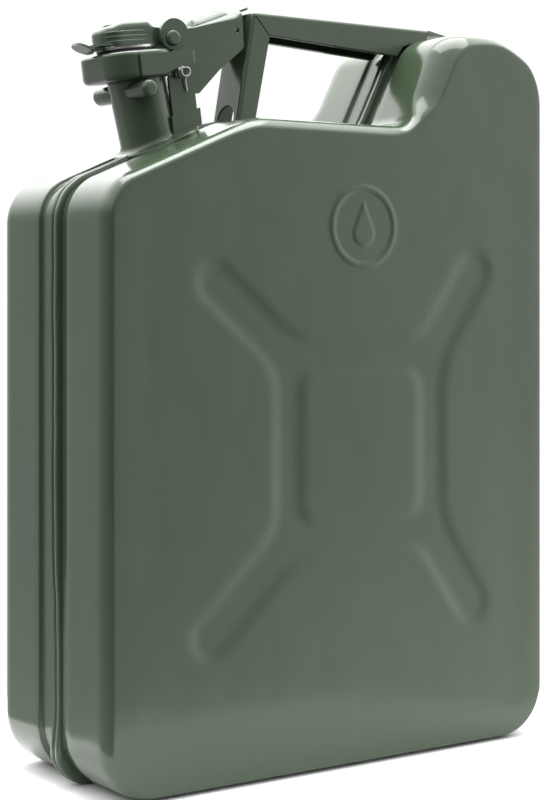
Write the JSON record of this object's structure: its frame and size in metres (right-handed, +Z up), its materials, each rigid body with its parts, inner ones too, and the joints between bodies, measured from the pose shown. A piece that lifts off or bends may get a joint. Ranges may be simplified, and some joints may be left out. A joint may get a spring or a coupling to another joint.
{
  "type": "steel fuel can",
  "caption": "Flat-sided pressed steel fuel can with a carrying handle, slanted neck and hinged cap clamped by a lever.",
  "frame": {"origin": "middle of the footprint on the surface the can stands on", "axes": "+Z up, +X along the can's width away from the spout, -Y towards the face with the emblem"},
  "size_m": [0.2804, 0.1087, 0.3941],
  "materials": {
    "olive_enamel": "gloss dark olive green enamel",
    "plated_steel": "zinc plated",
    "black_rubber": "matt"
  },
  "bodies": {
    "can": {"front_shell": "olive_enamel", "back_shell": "olive_enamel", "seam_bead": "olive_enamel", "neck_flange": "olive_enamel", "neck_tube": "olive_enamel", "mouth_collar": "olive_enamel", "hinge_bracket": "olive_enamel", "bracket_doubler": "olive_enamel", "lever_stop": "olive_enamel", "hinge_pin": "olive_enamel", "spout_lug_front": "olive_enamel", "spout_lug_back": "olive_enamel", "bracket_strap_front": "olive_enamel", "bracket_strap_back": "olive_enamel", "pin_washer_front": "olive_enamel", "pin_washer_back": "olive_enamel", "handle_channel": "olive_enamel", "handle_end_tab": "olive_enamel", "breather_tube": "plated_steel"},
    "lever": {"lever_frame": "olive_enamel"},
    "cap_carrier": {"carrier_channel": "olive_enamel", "carrier_base": "olive_enamel"},
    "seal": {"seal_plate": "plated_steel", "seal_gasket": "black_rubber", "seal_retainer": "plated_steel", "seal_spring_washer": "plated_steel", "seal_stud": "plated_steel"}
  },
  "joints": [
    {"name": "lever_hinge", "type": "hinge", "parent": "can", "child": "lever", "pos_m": [-0.07882, 0, 0.37176], "axis": [0, -1, 0], "range_deg": [0, 26]},
    {"name": "cap_hinge", "type": "hinge", "parent": "can", "child": "cap_carrier", "pos_m": [-0.07882, 0, 0.37176], "axis": [0, 1, 0], "range_deg": [0, 96]},
    {"name": "seal_swivel", "type": "hinge", "parent": "cap_carrier", "child": "seal", "pos_m": [-0.09736, 0, 0.36714], "axis": [-0.1392, 0, 0.9903], "continuous": true}
  ]
}
